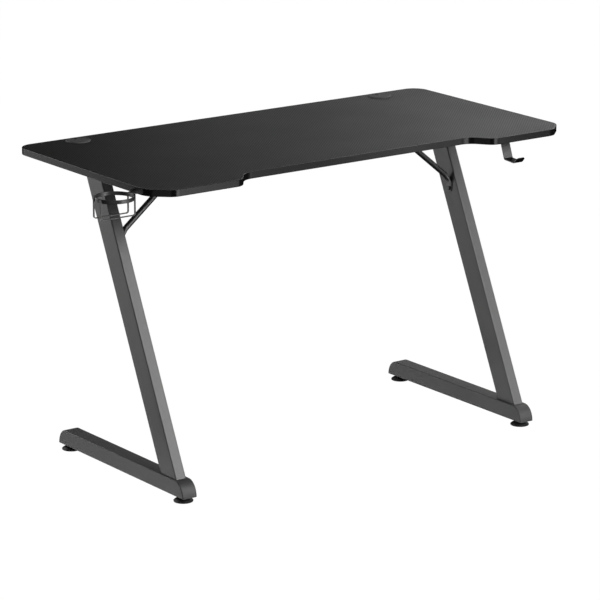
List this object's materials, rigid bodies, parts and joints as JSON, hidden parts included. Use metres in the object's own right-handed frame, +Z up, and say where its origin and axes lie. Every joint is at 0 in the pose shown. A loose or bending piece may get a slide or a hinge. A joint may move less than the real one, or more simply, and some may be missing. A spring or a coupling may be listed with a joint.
{
  "type": "gaming desk",
  "caption": "Gaming desk with a carbon-look top, Z-shaped black steel legs, levelling feet, cable grommets, a cup holder and a headphone hook",
  "frame": {"origin": "on the floor under the middle of the desktop, in the plane of the pad soles with the levelling feet screwed in", "axes": "+X to the sitting person's right, +Y away from the person to the rear edge, +Z up"},
  "size_m": [1.2945, 0.6, 0.7528],
  "materials": {
    "carbon_film": "satin laminate with a printed twill weave",
    "edge_abs": "fine-grained edge band, rounded edges",
    "particleboard": "raw particleboard core with a black backing sheet below",
    "black_powder_coat": "fine-textured matt black powder coat on steel",
    "grommet_plastic": "fine-grained moulded plastic",
    "black_plastic": "moulded plastic",
    "pad_rubber": "matt moulded rubber-faced plastic",
    "black_zinc": "black zinc plating",
    "bright_zinc": "bright zinc plating"
  },
  "bodies": {
    "frame": {"desktop_board": "particleboard", "carbon_top_film": "carbon_film", "desktop_edge_band": "edge_abs", "left_grommet_liner": "grommet_plastic", "right_grommet_liner": "grommet_plastic", "left_leg_tube": "black_powder_coat", "right_leg_tube": "black_powder_coat", "leg_base_plates": "black_powder_coat", "left_floor_bar": "black_powder_coat", "right_floor_bar": "black_powder_coat", "leg_bolts": "black_zinc", "left_top_arm": "black_powder_coat", "right_top_arm": "black_powder_coat", "arm_end_caps": "black_plastic", "beam_bolts": "black_zinc", "beam_weld_nuts": "black_zinc", "cross_beam": "black_powder_coat", "left_beam_plate": "black_powder_coat", "right_beam_plate": "black_powder_coat", "left_brace": "black_powder_coat", "right_brace": "black_powder_coat", "brace_bolts": "black_zinc", "brace_weld_nuts": "black_zinc", "desktop_screws": "black_zinc", "desktop_inserts": "bright_zinc", "leveller_weld_nuts": "bright_zinc", "cup_ring": "black_powder_coat", "cup_front_strap": "black_powder_coat", "cup_rear_strap": "black_powder_coat", "cup_bracket": "black_powder_coat", "cup_screws": "black_zinc", "headphone_hook": "black_powder_coat", "hook_screws": "black_zinc"},
    "front_left_foot": {"front_left_pad": "pad_rubber"},
    "front_left_stem": {"front_left_screw": "black_zinc"},
    "front_right_foot": {"front_right_pad": "pad_rubber"},
    "front_right_stem": {"front_right_screw": "black_zinc"},
    "rear_left_foot": {"rear_left_pad": "pad_rubber"},
    "rear_left_stem": {"rear_left_screw": "black_zinc"},
    "rear_right_foot": {"rear_right_pad": "pad_rubber"},
    "rear_right_stem": {"rear_right_screw": "black_zinc"},
    "left_cap": {"left_grommet_cap": "grommet_plastic"},
    "right_cap": {"right_grommet_cap": "grommet_plastic"}
  },
  "joints": [
    {"name": "front_left_slide", "type": "slide", "parent": "frame", "child": "front_left_foot", "axis": [0, 0, -1], "range_m": [0, 0.012]},
    {"name": "front_left_turn", "type": "hinge", "parent": "front_left_foot", "child": "front_left_stem", "pos_m": [-0.502, -0.25, 0], "axis": [0, 0, -1], "range_deg": [0, 3460]},
    {"name": "front_right_slide", "type": "slide", "parent": "frame", "child": "front_right_foot", "axis": [0, 0, -1], "range_m": [0, 0.012]},
    {"name": "front_right_turn", "type": "hinge", "parent": "front_right_foot", "child": "front_right_stem", "pos_m": [0.502, -0.25, 0], "axis": [0, 0, -1], "range_deg": [0, 3460]},
    {"name": "rear_left_slide", "type": "slide", "parent": "frame", "child": "rear_left_foot", "axis": [0, 0, -1], "range_m": [0, 0.012]},
    {"name": "rear_left_turn", "type": "hinge", "parent": "rear_left_foot", "child": "rear_left_stem", "pos_m": [-0.502, 0.234, 0], "axis": [0, 0, -1], "range_deg": [0, 3460]},
    {"name": "rear_right_slide", "type": "slide", "parent": "frame", "child": "rear_right_foot", "axis": [0, 0, -1], "range_m": [0, 0.012]},
    {"name": "rear_right_turn", "type": "hinge", "parent": "rear_right_foot", "child": "rear_right_stem", "pos_m": [0.502, 0.234, 0], "axis": [0, 0, -1], "range_deg": [0, 3460]},
    {"name": "left_cap_turn", "type": "hinge", "parent": "frame", "child": "left_cap", "pos_m": [-0.45, 0.262, 0.75], "axis": [0, 0, 1], "continuous": true},
    {"name": "right_cap_turn", "type": "hinge", "parent": "frame", "child": "right_cap", "pos_m": [0.45, 0.262, 0.75], "axis": [0, 0, 1], "continuous": true}
  ],
  "couplings": [
    {"joint": "front_left_turn", "follows": "front_left_slide", "rad_per_m": 5026.5},
    {"joint": "front_right_turn", "follows": "front_right_slide", "rad_per_m": 5026.5},
    {"joint": "rear_left_turn", "follows": "rear_left_slide", "rad_per_m": 5026.5},
    {"joint": "rear_right_turn", "follows": "rear_right_slide", "rad_per_m": 5026.5}
  ]
}
